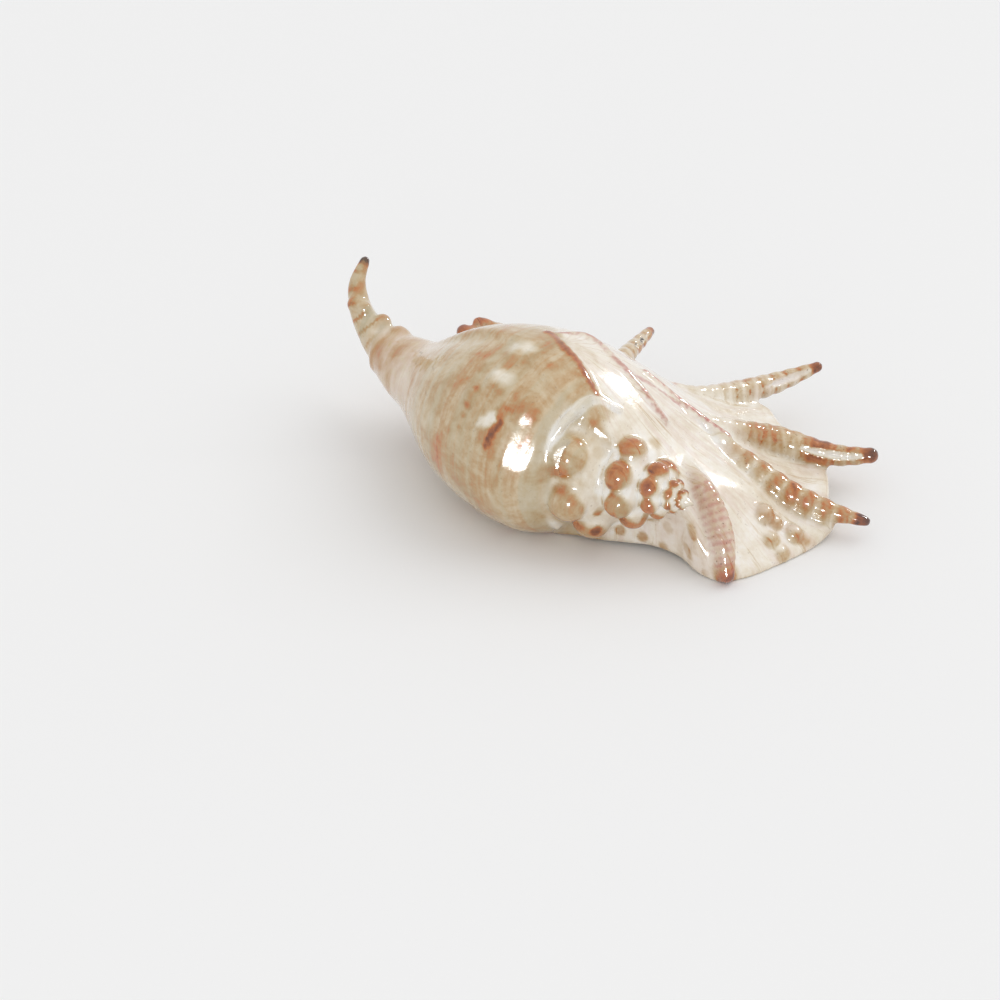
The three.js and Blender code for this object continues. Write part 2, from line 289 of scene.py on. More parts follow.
def spire(x, y, z):
    turn, radius = turn_and_radius(x, y, z)
    nearest = (radius - CORE_SLOPE * (APEX_X - x)) * CORE_NEARER
    for whorl in range(-SPIRE_TURNS, 0):
        growth = GROWTH_PER_TURN ** (turn + whorl)
        outer = SPIRE_RADIUS * growth
        half_width = WHORL_HALF_WIDTH * outer
        half_depth = WHORL_HALF_DEPTH * outer
        across = (x - APEX_X + SPIRE_REACH * growth) / half_width
        outward = (radius - WHORL_MIDDLE * outer) / half_depth
        ratio = np.sqrt(across**2 + outward**2)
        steepness = np.sqrt((across / half_width) ** 2 + (outward / half_depth) ** 2)
        gap = ratio * (ratio - 1) / np.maximum(steepness, 1e-3)
        nearest = np.minimum(nearest, gap)
    return nearest


def on_spiral(turn, lift, behind=0.0):
    """A point on the spiral, and the whorl's radius there."""
    growth = GROWTH_PER_TURN**turn
    outer = SPIRE_RADIUS * growth
    x = APEX_X - SPIRE_REACH * growth - behind * outer
    return around(x, lift * outer, turn % 1), outer


def ball(centre, radius):
    """A round lump, as a shape and its box."""

    def gap(x, y, z):
        square = (x - centre[0]) ** 2 + (y - centre[1]) ** 2 + (z - centre[2]) ** 2
        return np.sqrt(square) - radius

    return gap, centre - radius, centre + radius


def rod(rows, count=24):
    """A smooth, tapering rod along [x, y, z, radius] rows, as a shape and its box."""
    points = smooth_path(rows, count)
    low = (points[:, :3] - points[:, 3:]).min(0)
    high = (points[:, :3] + points[:, 3:]).max(0)
    return lambda x, y, z: reach_along(points, x, y, z)[0], low, high


def reach_along(points, x, y, z):
    """Distance from a chain of tapering links, and how far along it the nearest spot is."""
    nearest = np.full(np.broadcast(x, y, z).shape, FAR, np.float32)
    along = np.zeros_like(nearest)
    passed = 0.0
    for start, end in zip(points[:-1], points[1:]):
        run = (end - start)[:3]
        length = np.linalg.norm(run)
        share = (x - start[0]) * run[0] + (y - start[1]) * run[1] + (z - start[2]) * run[2]
        share = np.clip(share / length**2, 0, 1)
        square = (
            (x - start[0] - share * run[0]) ** 2
            + (y - start[1] - share * run[1]) ** 2
            + (z - start[2] - share * run[2]) ** 2
        )
        gap = np.sqrt(square) - start[3] - share * (end[3] - start[3])
        closer = gap < nearest
        nearest = np.where(closer, gap, nearest)
        along = np.where(closer, passed + share * length, along)
        passed += length
    return nearest, along


work(spire, (0, -45, -2), (88, 48, 90), 2.0)

knob_share = smooth_table(KNOB_SHARES)
knobs = []
turn = FIRST_KNOB_TURN
while SPIRE_RADIUS * GROWTH_PER_TURN**turn > SMALLEST_KNOB_WHORL:
    place, outer = on_spiral(turn, KNOB_LIFT)
    size = knob_share(outer) * outer
    knobs.append([*place, size, outer])
    work(*ball(place, size), blend=0.025 * outer + 0.2)
    turn -= KNOB_STEP

SEAM_TURNS = (-0.95, -4.2)
SEAM_STEP = -0.04
SEAM_LIFT = 0.95
SEAM_BEHIND = 0.26
seam_cord = []
for turn in np.arange(*SEAM_TURNS, SEAM_STEP):
    place, outer = on_spiral(turn, SEAM_LIFT, behind=SEAM_BEHIND)
    seam_cord.append([*place, 0.085 * outer + 0.3])
SHOULDER_CORD = [  # the newest seam, round the shoulder of the last whorl
    [30, 3, 71.5, 1.4], [21, -7, 78, 2.0], [19, -17, 75.5, 2.3], [16.5, -28, 68, 2.4],
    [14.5, -33, 58.5, 2.4], [13.5, -36, 48, 2.4], [13.5, -36, 37, 2.4], [15.5, -34, 25, 2.1],
    [17, -27, 12, 1.4],
]
work(*rod(seam_cord, len(seam_cord)), blend=0.8)
work(*rod(SHOULDER_CORD, 40), blend=1.2)

# ---- The ridges and blisters of the back ---------------------------------------------
# Two low ridges fork from the highest hump of the back, one to the spire and one out to
# the lip. A few shallow blisters stand on the last whorl.

BACK_RIDGES = [
    [[-22, 9, 90, 2], [-7, 4, 89, 3], [7, 0, 84.5, 2.8], [20, -4, 75, 2.2]],
    [[-18, 12, 89.5, 2], [-12, 24, 86.5, 2.5], [12, 25, 78, 2.4], [40, 26, 59, 1.6]],
    [[15, 40, 70, 1.6], [35, 50, 53, 2.1], [55, 56, 41, 2.6]],
]
BLISTERS = [[-12, 0.34, 6], [-18, 0.42, 8.5], [-20, 0.48, 8.5], [0, 0.40, 8.5], [-26, 0.38, 7]]
BLISTER_RISE = 1.2  # how far each [x, turn, radius] blister stands proud of the back
FACET = [4, -46, 61]  # a flattened spot on the shoulder
FACET_FACES = [0.56, -0.7, 0.42]  # the way it faces

def skin_radius(x, turn):
    """The last whorl's outer radius at a place on its skin."""
    return whorl_radius(x) * (1 - BACK_SWELL * math.cos(2 * math.pi * turn))


for rows in BACK_RIDGES:
    work(*rod(rows, 20), blend=2.5)
for x, turn, radius in BLISTERS:
    work(*ball(around(x, skin_radius(x, turn) + BLISTER_RISE - radius, turn), radius), blend=3)


def beyond_facet(x, y, z):
    return sum((FACET[i] - at) * FACET_FACES[i] for i, at in enumerate((x, y, z)))


work(beyond_facet, (-8, -56, 46), (18, -34, 76), 2.5, carve=True)

# ---- The fingers --------------------------------------------------------------------
# Hollow spines grow from the lip's edge. Each starts as a low ridge on the back of the
# lip, and has a narrow groove on its underside near the tip, where it closed last.

FINGERS = [  # middle line and radius, from the root to the tip
    [[58, 21, 43, 1.5], [67, 18, 40.5, 4.2], [79, 14, 33.5, 5.7], [91, 9, 20, 5.8], [99, 3, 6.5, 3.8]],
    [[50, 54, 41, 2], [70, 59, 30, 5], [90, 63, 20.5, 6.2], [108, 70, 15, 5.2], [126, 79, 11.5, 2.6]],
    [[36, 48, 50, 2], [44, 65, 39, 4.5], [52, 80, 31, 6], [62, 94, 24, 7], [77, 103, 20, 6.3],
     [89, 110, 19, 5.3], [101, 117, 21, 4]],
    [[12, 70, 46, 2], [16, 86, 36.5, 4.5], [19, 102, 30.5, 6], [23, 116, 28, 6.2], [30, 138, 27, 5.2],
     [38.5, 156, 30.5, 2.8]],
    [[-8, 50, 60, 2.5], [-22, 65, 47, 4.5], [-33, 80, 39.5, 5.2], [-40, 99, 36, 4.4],
     [-46, 120, 34.5, 2.9]],
    [[-45, 38, 58, 3], [-62, 46, 51, 6], [-80, 49, 48, 5.5], [-92, 46, 49.5, 5], [-99, 43, 52.5, 3.5]],
]
FINGER_FILLET = 4.0
FINGER_POINTS = 60  # along each finger's middle line
RING_STEPS = (5.0, 9.0, 8.0, 8.5, 8.0, 9.0)  # from one growth ring of a finger to the next
RING_SWELL = 0.055
LIP_BUMPS = [  # [x, y, z, radius]
    [99, 36, 9.5, 5], [105, 37, 4.5, 4.5], [91, 41, 19, 5.5], [104, 49, 9, 5], [96, 44, 14.5, 4],
    [107, 52, 5, 4], [-101, 31, 45, 4],
]
SIDE_LOBE = [[-87, 39, 47, 4.0], [-95, 37.5, 48, 4.6], [-103, 36, 48.5, 4.2]]  # by the last finger
GROOVED = (2, 3, 4)  # the fingers that show the groove where they closed last
GROOVE_REACH = (0.66, 0.95)  # its ends, as shares of the finger's length
GROOVE_SIDE = np.array([0.55, -0.6, 0.45])  # off the middle line, in radii
GROOVE_RADIUS = 1.4

finger_lines = []
for rows, step in zip(FINGERS, RING_STEPS):
    line = smooth_path(rows, FINGER_POINTS)
    reach = np.r_[0, np.cumsum(np.linalg.norm(np.diff(line[:, :3], axis=0), axis=1))]
    line[:, 3] *= 1 + RING_SWELL * np.sin(2 * math.pi * reach / step)
    finger_lines.append(line)
    work(*rod(line, FINGER_POINTS), blend=FINGER_FILLET)
for x, y, z, radius in LIP_BUMPS:
    work(*ball(np.array([x, y, z]), radius), blend=1.5)
work(*rod(SIDE_LOBE), blend=2)
grooves = []
for number in GROOVED:
    first, last = (int(share * FINGER_POINTS) for share in GROOVE_REACH)
    line = finger_lines[number][first:last]
    swell = np.sin(np.linspace(0.3, math.pi - 0.3, len(line)))
    rows = np.c_[line[:, :3] + line[:, 3:] * GROOVE_SIDE, GROOVE_RADIUS * swell]
    grooves.append(rows)
    work(*rod(rows), blend=0.8, carve=True)

# ---- The siphonal canal -------------------------------------------------------------
# The narrow end of the last whorl runs on into a horn that curls up and over.

CANAL = [
    [-104, -1, 41, 15.8], [-122, 0.5, 43.5, 11.4], [-135, 1, 50.5, 8.2], [-146, 3, 60, 6.1],
    [-153, 8, 70, 4.6], [-156, 17, 79, 2.6],
]
CANAL_POINTS = 40
CANAL_BUMPS = [[-131, 3.5, 57, 5], [-120, 4.5, 52.5, 6], [-141, 1, 63, 3.5], [-147, -1, 64, 3.5]]

work(*rod(CANAL, CANAL_POINTS), blend=6)
for x, y, z, radius in CANAL_BUMPS:
    work(*ball(np.array([x, y, z]), radius), blend=3)

# ---- The mouth ----------------------------------------------------------------------
# A long slit between the belly and the lip opens into the last whorl. The belly and the
# lip's front edge, which the shell lies on, are worn flat.

CHAMBER = [
    [-80, 14, 36, 5], [-45, 19, 38, 10], [-10, 24, 38, 13], [20, 26, 36, 12], [45, 26, 30, 8],
]
SLIT = [  # middle line and half width at the opening
    [-104, 6, 10, 3], [-75, 11, 4, 5.5], [-30, 17, 0, 7.5], [15, 21, 0, 8], [50, 22, -1, 6],
    [72, 19, -2, 3.5],
]
SLIT_LIFTS = (-2, 6, 14, 22)
FLOOR = 1.0

work(*rod(CHAMBER), blend=4, carve=True)
for lift in SLIT_LIFTS:
    work(*rod([[x, y, z + lift, radius] for x, y, z, radius in SLIT]), blend=3, carve=True)
clay = meet(clay, FLOOR - clay_axes[2][None, None, :], 1.0)

# ---- The skin -----------------------------------------------------------------------
# The clay's surface as a net of quads, one point in each grid cell that it passes
# through, each point then drawn onto the surface itself.

ORIGIN = (-15.0, 51.5, FLOOR)  # the point of the clay that is the shell's origin
METRE = 1000.0  # in the clay's millimetres
SETTLING_ROUNDS = 2
CORNERS = [(i, j, k) for i in (0, 1) for j in (0, 1) for k in (0, 1)]


def clay_at(points):
    """The clay's distance at any points, by blending the eight grid points round each."""
    cell = (points - CLAY_LOW) / GRAIN
    base = np.clip(np.floor(cell).astype(int), 0, np.array(clay.shape) - 2)
    part = cell - base
    total = 0
    for corner in CORNERS:
        weight = np.prod(np.where(corner, part, 1 - part), axis=1)
        total = total + weight * clay[tuple((base + corner).T)]
    return total


def clay_slope(points, step=0.5):
    shifts = step * np.eye(3)
    rises = [clay_at(points + shift) - clay_at(points - shift) for shift in shifts]
    return np.stack(rises, 1) / (2 * step)


def surface_net():
    """Points and quads of the clay's surface, quads turned to face out."""
    inside = clay < 0
    size = np.array(clay.shape) - 1
    full = np.zeros(size, int)
    for i, j, k in CORNERS:
        full += inside[i : i + size[0], j : j + size[1], k : k + size[2]]
    crossed = (full > 0) & (full < 8)
    number = np.full(size, -1)
    number[crossed] = np.arange(crossed.sum())
    cells = np.argwhere(crossed)
    height = {c: clay[tuple((cells + c).T)] for c in CORNERS}
    total = np.zeros((len(cells), 3))
    count = np.zeros(len(cells))
    for start in CORNERS:
        for way in range(3):
            if start[way]:
                continue
            end = tuple(np.eye(3, dtype=int)[way] + start)
            a, b = height[start], height[end]
            cut = (a < 0) != (b < 0)
            share = np.where(cut, a / np.where(cut, a - b, 1), 0)
            spot = np.array(start) + share[:, None] * np.eye(3)[way]
            total += np.where(cut[:, None], spot, 0)
            count += cut
    points = (cells + total / count[:, None]) * GRAIN + CLAY_LOW
    quads = []
    for way in range(3):
        here = [slice(1, n) for n in size]
        here[way] = slice(0, size[way])
        there = list(here)
        there[way] = slice(1, size[way] + 1)
        start, end = inside[tuple(here)], inside[tuple(there)]
        first = np.array([part.start for part in here])
        for leaving in (True, False):
            found = start & ~end if leaving else ~start & end
            edges = np.argwhere(found) + first
            ring = []
            for step_u, step_w in ((0, 0), (1, 0), (1, 1), (0, 1)):
                cell = edges.copy()
                cell[:, (way + 1) % 3] -= step_u
                cell[:, (way + 2) % 3] -= step_w
                ring.append(number[tuple(cell.T)])
            quad = np.stack(ring, 1)
            quads.append(quad if leaving else quad[:, ::-1])
    return points, np.concatenate(quads)


points, quads = surface_net()
for _ in range(SETTLING_ROUNDS):
    slope = clay_slope(points)
    square = np.maximum((slope**2).sum(1), 0.2)
    points = points - (clay_at(points) / square)[:, None] * slope

skin = bpy.data.meshes.new("shell_skin")
skin.from_pydata(((points - ORIGIN) / METRE).tolist(), [], quads.tolist())
skin.shade_smooth()
shell = bpy.data.objects.new("spider_conch", skin)
bpy.context.collection.objects.link(shell)

# ---- The glaze's depth ---------------------------------------------------------------
# One number over the whole skin says how the glaze lies: 0 where it broke thin and dark,
# through rust, tan and cream, to 1 in a white pool. Rules lay it over the body, the lip,
# the knobs and the fingers, and a few pools and streaks are listed one by one.

x, y, z = points.T
turn, radius = turn_and_radius(x, y, z)


def ease(value, low, high):
    """0 up to low and 1 from high on, smooth between."""
    share = np.clip((value - low) / (high - low), 0, 1)
    return share * share * (3 - 2 * share)


def near(rows, margin=10.0, count=24, rise=1.0, ragged=False):
    """Gap from a tapering line, and the reach along it, for the points close to it.

    A rise below 1 counts heights for less, so that the line marks a sloping face below it.
    A ragged line wanders a little, as running glaze does.
    """
    line = smooth_path(rows, count)
    low, high = line[:, :3].min(0) - margin, line[:, :3].max(0) + margin
    close = ((points > low) & (points < high)).all(1)
    line[:, 2] *= rise
    spots = points + (raggedness if ragged else 0)
    gap, along = np.full(len(points), FAR), np.zeros(len(points))
    gap[close], along[close] = reach_along(line, *(spots[close] * (1, 1, rise)).T)
    return gap, along


raggedness = 0.8 * np.sin(np.stack([0.5 * y + 0.3 * z, 0.6 * z + 0.4 * x, 0.55 * x + 0.35 * y], 1))
raggedness += 0.35 * np.sin(np.stack([1.3 * z + y, 1.1 * x - z, 1.4 * y - x], 1))

LIP_BORDER = [  # where the body's glaze gives way to the lip's: [x, y]
    [-108, 16], [-90, 22], [-60, 25], [-35, 22], [-17, 12], [0, 2], [19, -5], [40, -16], [95, -20],
]
BODY_DEPTH = 0.47
NECK_DEPTH = 0.56
LIP_DEPTH = 0.84
SPIRE_DEPTH = (0.60, 0.88)  # on its biggest whorl, and beyond
CORD_DEPTH = 1.0

lip = ease(y - smooth_table(LIP_BORDER)(x), -3, 4)
on_spire = ease(x, 13, 17) * (1 - ease(spire(x, y, z), 1.0, 3.5))
lip *= 1 - on_spire
depth = BODY_DEPTH + (NECK_DEPTH - BODY_DEPTH) * (1 - ease(x, -90, -60))
depth = depth + (LIP_DEPTH - depth) * lip
depth = depth + (np.interp(x, (30, 40), SPIRE_DEPTH) - depth) * on_spire


def lay(value, share):
    """Lays glaze of another depth over a share of every point."""
    depth[:] = depth + (value - depth) * share


KNOB_TOP_DEPTH = smooth_table([[7, 0.34], [14, 0.40], [20, 0.46], [34, 0.51]])
KNOB_RIM_DEPTH = 0.11
RIM_RUST = smooth_table([[7, 1.0], [14, 1.0], [22, 1.0], [30, 0.8]])  # by the whorl's radius

for kx, ky, kz, size, outer in knobs:
    offset = (points - (kx, ky, kz)) / size
    away = np.array([0, ky - axis_y(kx), kz - axis_z(kx)])
    height = offset @ (away / np.linalg.norm(away))
    on_knob = 1 - ease(np.linalg.norm(offset, axis=1), 1.05, 1.25)
    flank = 1 - ease(height, 0.35, 0.8)
    rust = RIM_RUST(outer) * np.clip(0.6 - 0.7 * offset[:, 0], 0, 1)
    lay(KNOB_TOP_DEPTH(outer), on_knob * ease(height, 0.15, 0.5))
    lay(KNOB_RIM_DEPTH, on_knob * flank * ease(height, -0.1, 0.25) * rust)
for rows in (seam_cord, SHOULDER_CORD):
    gap, _ = near(rows, count=max(40, len(rows)))
    lay(CORD_DEPTH, 0.85 * (1 - ease(gap, 0.2, 1.8)))

FINGER_DEPTHS = (0.64, 0.50, 0.44, 0.53, 0.54, 0.56)
FINGER_ROOTS = (18.0, 16.0, 38.0, 34.0, 40.0, 25.0)  # reach at which a finger's glaze begins
BAND_SWINGS = (0.08, -0.13, 0.13, 0.20, 0.12, 0.1)  # below 0, the rings themselves are dark
TIP_DEPTH = 0.30
TIP_LENGTH = 7.0

finger = np.zeros(len(points))
for line, step, value, swing, root in zip(
    finger_lines, RING_STEPS, FINGER_DEPTHS, BAND_SWINGS, FINGER_ROOTS
):
    gap, along = near(line, count=FINGER_POINTS)
    length = np.linalg.norm(np.diff(line[:, :3], axis=0), axis=1).sum()
    share = (1 - ease(gap, 1.0, 4.5)) * ease(along, root - 16, root + 6)
    bands = swing * np.sin(2 * math.pi * along / step) * (1 + 0.5 * np.sin(0.9 * x + 1.3 * y))
    lay(value + bands, share)
    lay(TIP_DEPTH, share * ease(along, length - TIP_LENGTH, length - 1))
    finger = np.maximum(finger, share)
facing = clay_slope(points)
facing /= np.linalg.norm(facing, axis=1)[:, None]

HORN_DEPTH = 0.60
HORN_SPOT_DEPTH = 0.26
HORN_SPOT_STEP = 8.0
HORN_TIP_DEPTH = 0.12
HORN_TIP_REACH = (69, 74)  # along the canal's middle line

gap, along = near(CANAL, margin=20, count=CANAL_POINTS)
horn = (1 - ease(gap, 2, 6)) * ease(along, 14, 36)
lay(HORN_DEPTH, horn)
horn_spots = ease(np.sin(2 * math.pi * along / HORN_SPOT_STEP), 0.5, 0.95)
horn_spots *= ease(-facing[:, 1], 0.2, 0.8)
lay(HORN_SPOT_DEPTH, 0.7 * horn * horn_spots)
lay(HORN_TIP_DEPTH, horn * ease(along, *HORN_TIP_REACH))

DARK_BEAD_REACH = 78.0  # on the third finger
DARK_BEAD_DEPTH = 0.18
gap, along = near(finger_lines[2], count=FINGER_POINTS)
beside = 1 - ease(abs(along - DARK_BEAD_REACH), 3, 7)
lay(DARK_BEAD_DEPTH, 0.8 * (1 - ease(gap, 0.5, 2)) * beside)

BODY_MARKS = [  # [depth, strength, softness, half width, [x, turn] ...]
    [0.93, 0.9, 3.0, 2.0, [-13, 0.35], [-11, 0.36]],
    [0.19, 0.8, 1.8, 1.2, [-8, 0.39], [-6, 0.36], [-8, 0.32]],
    [0.36, 0.6, 5.0, 1.2, [-16, 0.40], [-9, 0.39]],
    [0.95, 0.8, 6.5, 1.5, [-20, 0.43], [-16, 0.43]],
    [0.92, 0.8, 6.5, 1.5, [-22, 0.49], [-18, 0.49]],
    [0.33, 0.6, 4.0, 1.0, [-30, 0.43], [-18, 0.45]],
    [0.33, 0.6, 4.0, 1.2, [-12, 0.52], [-12, 0.47]],
    [0.36, 0.6, 6.0, 2.0, [-2, 0.39], [4, 0.39]],
    [0.36, 0.5, 5.0, 1.5, [-46, 0.38], [-42, 0.33]],
    [0.34, 0.6, 5.0, 2.0, [-34, 0.46], [-28, 0.48]],
    [0.38, 0.5, 5.0, 2.0, [-48, 0.28], [-45, 0.24]],
    [0.40, 0.5, 5.0, 1.5, [-122, 0.36], [-108, 0.42]],
]
BEAD_TURNS = (0.39, 0.365, 0.345, 0.32)  # a string of small brown beads down the body
BEADS_X = -26
BEAD = [0.3, 0.75, 1.6, 1.0]  # depth, strength, softness, half width
body_marks = BODY_MARKS + [[*BEAD, [BEADS_X - 1, bead], [BEADS_X + 1, bead]] for bead in BEAD_TURNS]
for value, strength, softness, half_width, *places in body_marks:
    rows = []
    for mark_x, mark_turn in places:
        spot = around(mark_x, skin_radius(mark_x, mark_turn), mark_turn)
        rows.append([*spot, half_width])
    gap, _ = near(rows, ragged=True)
    lay(value, strength * (1 - ease(gap, 0, softness)))


def crest(rows):
    """The thin line that runs along the top of a ridge."""
    return [[rx, ry, rz + 0.7 * size, 0.35 * size] for rx, ry, rz, size in rows]


CREST_DEPTH = 0.20
BUMP_DEPTH = 0.32
PATCH_DEPTH = 0.22  # of the brown patches under the spire, and of the last finger's lobe
# a painted highlight: the glaze depth, near white, laid along each finger's groove
GROOVE_PAINTED_HIGHLIGHT = 0.97

gap, _ = near(crest(BACK_RIDGES[0]), ragged=True, rise=0.5)
lay(CREST_DEPTH, 0.85 * (1 - ease(gap, 0, 2)))
for bump_x, bump_y, bump_z, size in LIP_BUMPS:
    away = np.linalg.norm(points - (bump_x, bump_y, bump_z), axis=1) / size
    lay(BUMP_DEPTH, 0.6 * (1 - ease(away, 1.05, 1.4)) * (1 - ease(facing[:, 2], 0.5, 0.95)))
under_spire = ease(x, 30, 38) * (1 - ease(x, 84, 92)) * (1 - ease(y, -2, 4)) * (1 - ease(z, 28, 34))
patches = np.sin(0.36 * x + 0.2 * z) * np.sin(0.3 * y - 0.27 * z + 0.1 * x)
lay(PATCH_DEPTH, 0.75 * under_spire * ease(patches, 0.3, 0.7) * (1 - ease(-facing[:, 2], 0.6, 0.9)))
gap, along = near(SIDE_LOBE)
lay(PATCH_DEPTH, 0.8 * (1 - ease(gap, 0.5, 3)) * ease(along, 8, 14))
# Each finger's groove is painted near white, a painted highlight along it.
for rows in grooves:
    gap, _ = near(rows)
    lay(GROOVE_PAINTED_HIGHLIGHT, 0.95 * (1 - ease(gap, 0.2, 1.2)))

# Two more tints lie in the glaze: a rose blush along the lip's ridges and fine lines, and
# an olive cast over the body. Fine cracks cross the neck.

LIP_HUB = np.array([-10.0, 5.0])  # the point of the back that the lip's lines fan out from
RIDGE_BLUSH = (0.3, 0.75, 1.0)
FAN_LINES = (0.45, 0.7, 1.0)  # a rosy line's points, from the hub to a finger's root
F1_WRINKLE = 3.6  # from one rosy wrinkle of the first finger to the next
CRACK_STARTS = ((-95, 0.50), (-68, 0.44))  # [x, turn]
CRACK_LINKS = 5

blush = 0.22 * (1 - ease(x, -95, -62)) * (1 - horn)
for rows, strength in zip(BACK_RIDGES, RIDGE_BLUSH):
    gap, _ = near(crest(rows), rise=0.3, ragged=True)
    blush = np.maximum(blush, strength * (1 - ease(gap, 0, 1.4)))
for line in finger_lines[2:5]:
    fan_spots = [LIP_HUB + (line[0, :2] - LIP_HUB) * share for share in FAN_LINES]
    rows = [[px, py, float(lip_top(px, py)), 0.5] for px, py in fan_spots]
    gap, _ = near(rows, rise=0.3, ragged=True)
    blush = np.maximum(blush, 0.7 * (1 - ease(gap, 0, 1.2)))
gap, along = near(FINGERS[0])
rings = 0.5 + 0.5 * np.sin(2 * math.pi * along / F1_WRINKLE)
blush = np.maximum(blush, (1 - ease(gap, 0, 3)) * ease(along, 4, 14) * (0.25 + 0.45 * rings))

crack = np.full(len(points), FAR)
for crack_x, crack_turn in CRACK_STARTS:
    rows = []
    for link in range(CRACK_LINKS):
        link_x = crack_x + 3 * link
        link_turn = crack_turn - 0.028 * link + 0.012 * (-1) ** link
        rows.append([*around(link_x, whorl_radius(link_x), link_turn), 0])
    crack = np.minimum(crack, near(rows, rise=0.4)[0])
olive = (1 - lip) * (1 - on_spire) * np.maximum(0.6 * ease(x, -95, -55), horn)

# The grain that growth left: across the coil on the body, fanning out over the lip.

fan = np.arctan2(y - LIP_HUB[1], x - LIP_HUB[0])
spread = np.hypot(x - LIP_HUB[0], y - LIP_HUB[1])
round_body = np.stack([x, turn * 90, radius], 1)
over_lip = np.stack([spread * 0.25, fan * 70, z * 0.2], 1)
grain = round_body + (over_lip - round_body) * (lip > 0.5)[:, None]

skin_layers = {
    "depth": depth, "lip": lip, "blush": blush, "crack": crack, "olive": olive, "finger": finger,
}
for name, values in skin_layers.items():
    layer = skin.attributes.new(name, "FLOAT", "POINT")
    layer.data.foreach_set("value", values.astype(np.float32))
layer = skin.attributes.new("grain", "FLOAT_VECTOR", "POINT")
layer.data.foreach_set("vector", grain.astype(np.float32).ravel())

# ---- The glaze ------------------------------------------------------------------------
# A glossy ceramic glaze, coloured by its depth, broken up by stripes along the grain,
# mottling, fine brown specks and crazing.

DEPTH_COLOURS = [  # depth, sRGB
    (0.00, (70, 44, 30)),
    (0.12, (142, 76, 34)),
    (0.25, (190, 116, 58)),
    (0.38, (189, 153, 107)),
    (0.50, (207, 185, 150)),
    (0.66, (222, 208, 184)),
    (0.84, (240, 232, 217)),
    (1.00, (249, 246, 240)),
]
ROSE = (186, 112, 100)
OLIVE = (158, 146, 104)
SPECK = (120, 84, 56)
# Noise cells over each of the grain's three parts: few along a mark, many across it.
STRIPE_STRETCH = (0.16, 0.018, 0.02)
STREAK_STRETCH = (0.12, 0.45, 0.1)
ROSE_STRETCH = (0.10, 0.30, 0.1)
MOTTLE_SCALE = 55
DAPPLE_SCALE = 210
SPECK_SCALE = 620
MOTTLE_SWING = 0.65  # how far each marking moves the glaze's depth
DAPPLE_SWING = 0.30
STRIPE_SWING = 0.5
STREAK_SWING = -0.26
CREST_SWING = -0.10
OLIVE_MOST = 0.55  # the most that each tint may hide of the colour under it
ROSE_LINE_MOST = 0.16
CRACK_MOST = 0.6
CRACK_WOBBLE = 1.2
DIMPLE_STRENGTH = 0.14
DIMPLE_DEPTH = 0.0006
GLOSS = {"Roughness": 0.16, "IOR": 1.5, "Coat Weight": 0.7, "Coat Roughness": 0.04}

glaze = bpy.data.materials.new("pooled_glaze")
glaze.use_nodes = True
wiring = glaze.node_tree


def linear(colour):
    """An sRGB colour, 0 to 255, as linear light."""
    parts = [c / 255 for c in colour]
    return [c / 12.92 if c <= 0.04045 else ((c + 0.055) / 1.055) ** 2.4 for c in parts] + [1]


def node(tree, kind, values=None, **settings):
    """A node with its settings, and its inputs filled with values or linked to outputs."""
    made = tree.nodes.new(kind)
    for key, value in settings.items():
        setattr(made, key, value)
    for key, value in (values or {}).items():
        if isinstance(value, bpy.types.NodeSocket):
            tree.links.new(value, made.inputs[key])
        else:
            made.inputs[key].default_value = value
    return made


def sums(kind, a, b, c=0.0, clamp=False):
    made = node(wiring, "ShaderNodeMath", {0: a, 1: b, 2: c}, operation=kind, use_clamp=clamp)
    return made.outputs[0]


def layer_of(name):
    return node(wiring, "ShaderNodeAttribute", attribute_name=name).outputs


def noise(vector, scale, detail=3.0, roughness=0.55, distortion=0.0):
    values = {"Vector": vector, "Scale": scale, "Detail": detail, "Roughness": roughness}
    values["Distortion"] = distortion
    return node(wiring, "ShaderNodeTexNoise", values).outputs["Fac"]


def stretched(vector, scale):
    made = node(wiring, "ShaderNodeMapping", {"Vector": vector, "Scale": scale})
    return made.outputs[0]


def tint(under, over, share, blend="MIX"):
    made = node(wiring, "ShaderNodeMix", data_type="RGBA", blend_type=blend)
    for key, value in ((0, share), (6, under), (7, over)):
        if isinstance(value, bpy.types.NodeSocket):
            wiring.links.new(value, made.inputs[key])
        else:
            made.inputs[key].default_value = value
    return made.outputs[2]


def above(value, low, high):
    """0 below low, 1 above high."""
    values = {0: value, 1: low, 2: high}
    return node(wiring, "ShaderNodeMapRange", values, interpolation_type="SMOOTHSTEP").outputs[0]


object_place = node(wiring, "ShaderNodeTexCoord").outputs["Object"]
grain_at = layer_of("grain")["Vector"]
lip_share = layer_of("lip")["Fac"]
finger_share = layer_of("finger")["Fac"]
stripes = noise(stretched(grain_at, STRIPE_STRETCH), 1.0, 4, 0.6, 0.3)
streaks = noise(stretched(grain_at, STREAK_STRETCH), 1.0, 5, 0.65, 0.4)
mottle = noise(object_place, MOTTLE_SCALE, 4, 0.6, 0.6)
dapple = noise(object_place, DAPPLE_SCALE, 3, 0.6, 0.3)

body_share = sums("SUBTRACT", 1.0, lip_share)
dappled = sums("MULTIPLY", sums("SUBTRACT", dapple, 0.5), DAPPLE_SWING)
wander = sums("MULTIPLY_ADD", sums("SUBTRACT", mottle, 0.5), MOTTLE_SWING, dappled)
striped = sums("MULTIPLY", sums("MULTIPLY", sums("SUBTRACT", stripes, 0.5), STRIPE_SWING), body_share)
streaked = sums("MULTIPLY", sums("MULTIPLY", above(streaks, 0.54, 0.72), STREAK_SWING), lip_share)
thinned = sums("MULTIPLY", layer_of("peak")["Fac"], CREST_SWING)
markings = sums("ADD", wander, sums("ADD", striped, sums("ADD", streaked, thinned)))
total = sums("ADD", layer_of("depth")["Fac"], markings)

